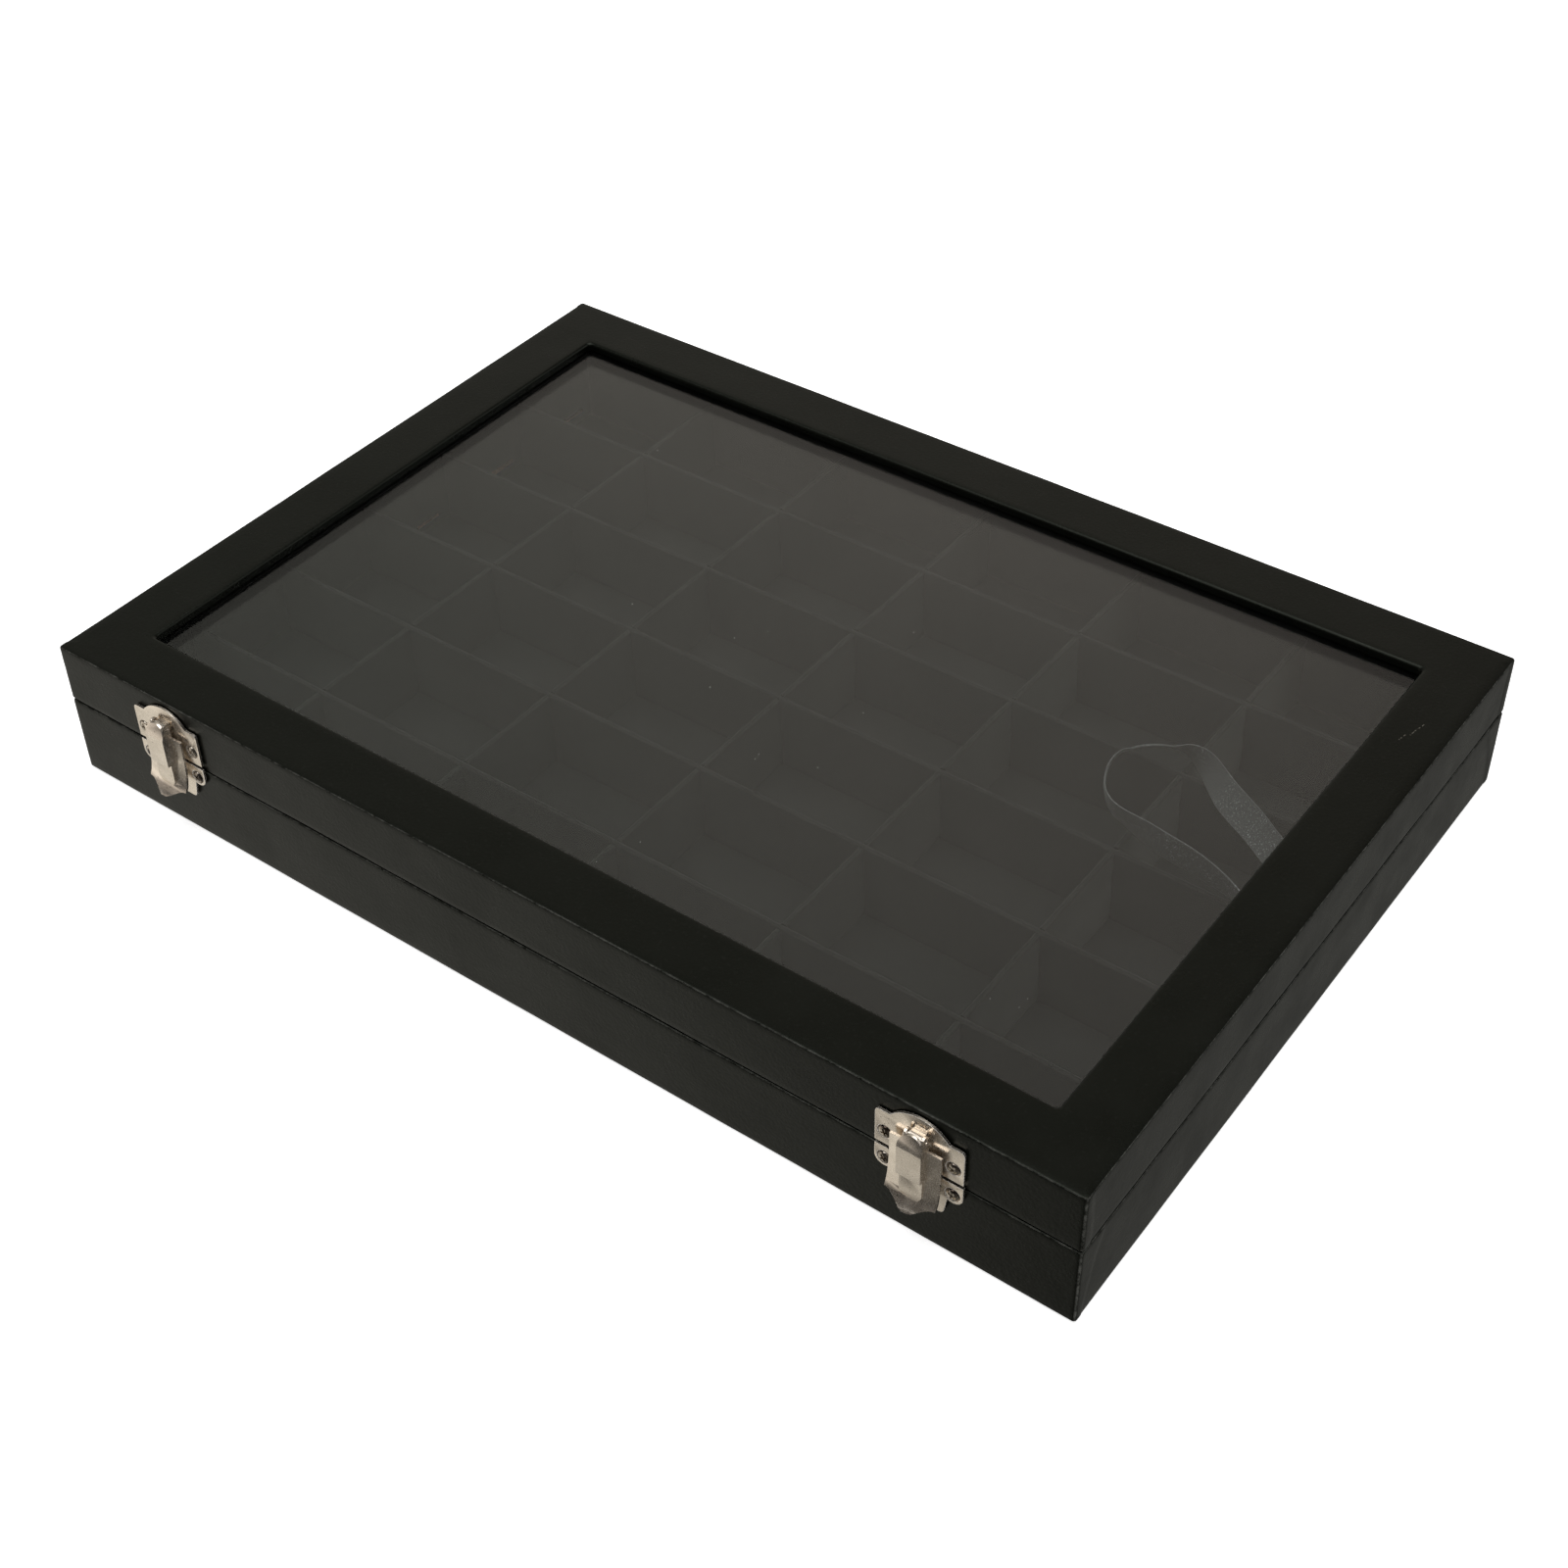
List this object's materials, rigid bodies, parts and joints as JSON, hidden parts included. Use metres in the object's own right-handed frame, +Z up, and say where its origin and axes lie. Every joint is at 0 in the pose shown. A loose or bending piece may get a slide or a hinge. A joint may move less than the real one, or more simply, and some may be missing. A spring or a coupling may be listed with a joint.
{
  "type": "coin display frame",
  "caption": "Flat hinged display case with a glass lid, velvet-lined divided cells, front flap clasps and a ribbon lid stay.",
  "frame": {"origin": "centre of the flat resting face", "axes": "+Z up, +X along the front from left to right, the clasps on the -Y side and the hinges on the +Y side, lid closed"},
  "size_m": [0.35, 0.2506, 0.047],
  "materials": {
    "leatherette": "fine-grained black leatherette, slightly glossy",
    "board": "raw fibreboard",
    "velvet": "black short-pile velvet",
    "nickel": "bright nickel plating",
    "glass": "clear",
    "ribbon": "dark grey satin"
  },
  "bodies": {
    "base": {"base_leatherette": "leatherette", "base_bottom_cover": "leatherette", "base_bottom_board": "board", "base_wall_front": "board", "base_wall_back": "board", "base_wall_left": "board", "base_wall_right": "board", "floor_velvet": "velvet", "lining_front": "velvet", "lining_back": "velvet", "lining_left": "velvet", "lining_right": "velvet", "divider_across_1": "velvet", "divider_across_2": "velvet", "divider_across_3": "velvet", "divider_across_4": "velvet", "divider_across_5": "velvet", "divider_along_1": "velvet", "divider_along_2": "velvet", "divider_along_3": "velvet", "divider_along_4": "velvet", "divider_along_5": "velvet", "clasp_left_lower_plate": "nickel", "clasp_left_lower_screw_1": "nickel", "clasp_left_lower_screw_2": "nickel", "hinge_left_base_leaf": "nickel", "hinge_left_pin": "nickel", "clasp_right_lower_plate": "nickel", "clasp_right_lower_screw_1": "nickel", "clasp_right_lower_screw_2": "nickel", "hinge_right_base_leaf": "nickel", "hinge_right_pin": "nickel"},
    "lid": {"lid_leatherette": "leatherette", "lid_wall_front": "board", "lid_wall_back": "board", "lid_wall_left": "board", "lid_wall_right": "board", "lid_top_front": "board", "lid_top_back": "board", "lid_top_left": "board", "lid_top_right": "board", "glass_pane": "glass", "glass_strip_front": "velvet", "glass_strip_back": "velvet", "glass_strip_left": "velvet", "glass_strip_right": "velvet", "lid_stay_ribbon": "ribbon", "clasp_left_upper_plate": "nickel", "clasp_left_pin": "nickel", "clasp_left_upper_screw_1": "nickel", "clasp_left_upper_screw_2": "nickel", "hinge_left_lid_leaf": "nickel", "clasp_right_upper_plate": "nickel", "clasp_right_pin": "nickel", "clasp_right_upper_screw_1": "nickel", "clasp_right_upper_screw_2": "nickel", "hinge_right_lid_leaf": "nickel"},
    "flap_left": {"clasp_left_flap": "nickel"},
    "flap_right": {"clasp_right_flap": "nickel"}
  },
  "joints": [
    {"name": "lid_hinge", "type": "hinge", "parent": "base", "child": "lid", "pos_m": [0, 0.1219, 0.0272], "axis": [-1, 0, 0], "range_deg": [0, 100]},
    {"name": "clasp_left", "type": "hinge", "parent": "lid", "child": "flap_left", "pos_m": [-0.13, -0.1227, 0.0406], "axis": [-1, 0, 0], "range_deg": [0, 90]},
    {"name": "clasp_right", "type": "hinge", "parent": "lid", "child": "flap_right", "pos_m": [0.13, -0.1227, 0.0406], "axis": [-1, 0, 0], "range_deg": [0, 90]}
  ]
}
